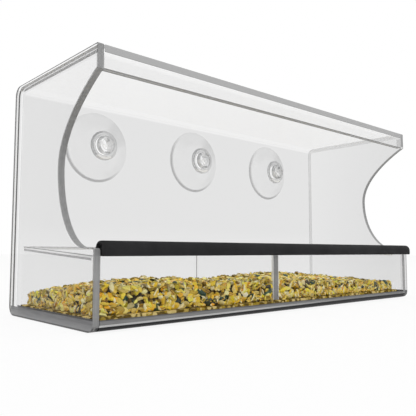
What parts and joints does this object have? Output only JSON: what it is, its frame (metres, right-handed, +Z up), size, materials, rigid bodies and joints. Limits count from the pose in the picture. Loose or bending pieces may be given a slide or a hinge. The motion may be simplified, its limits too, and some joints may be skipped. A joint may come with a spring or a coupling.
{
  "type": "window bird feeder",
  "caption": "Clear window bird feeder: an open-fronted shelter with rounded side cut-outs and a soft perch, held by suction cups on its back, with a divided tray of seed that lifts out.",
  "frame": {"origin": "middle of the shelter's flat underside", "axes": "+Z up, +X along the feeder, +Y towards the window that the suction cups hold on to"},
  "size_m": [0.305, 0.1107, 0.1415],
  "materials": {
    "clear_acrylic": "clear, polished, with soft grey cut edges",
    "tray_acrylic": "clear, polished",
    "black_foam": "matt, fine closed-cell skin",
    "clear_vinyl": "clear, soft gloss",
    "seed_mix": "loose mixed seed"
  },
  "bodies": {
    "shelter": {"shell_sheet": "clear_acrylic", "roof_lip": "clear_acrylic", "side_panel_left": "clear_acrylic", "side_panel_right": "clear_acrylic", "perch_grip": "black_foam"},
    "tray": {"tray_floor": "tray_acrylic", "tray_front_wall": "tray_acrylic", "tray_back_wall": "tray_acrylic", "tray_end_left": "tray_acrylic", "tray_end_right": "tray_acrylic", "tray_divider": "tray_acrylic", "seeds_left": "seed_mix", "seeds_right": "seed_mix"},
    "cup_left": {"suction_cup_left": "clear_vinyl"},
    "cup_middle": {"suction_cup_middle": "clear_vinyl"},
    "cup_right": {"suction_cup_right": "clear_vinyl"}
  },
  "joints": [
    {"name": "tray_lift", "type": "slide", "parent": "shelter", "child": "tray", "axis": [0, 0, 1], "range_m": [0, 0.042]},
    {"name": "cup_left_turn", "type": "hinge", "parent": "shelter", "child": "cup_left", "pos_m": [-0.0912, 0.05, 0.1123], "axis": [0, 1, 0], "continuous": true},
    {"name": "cup_middle_turn", "type": "hinge", "parent": "shelter", "child": "cup_middle", "pos_m": [0, 0.05, 0.1123], "axis": [0, 1, 0], "continuous": true},
    {"name": "cup_right_turn", "type": "hinge", "parent": "shelter", "child": "cup_right", "pos_m": [0.0912, 0.05, 0.1123], "axis": [0, 1, 0], "continuous": true}
  ]
}
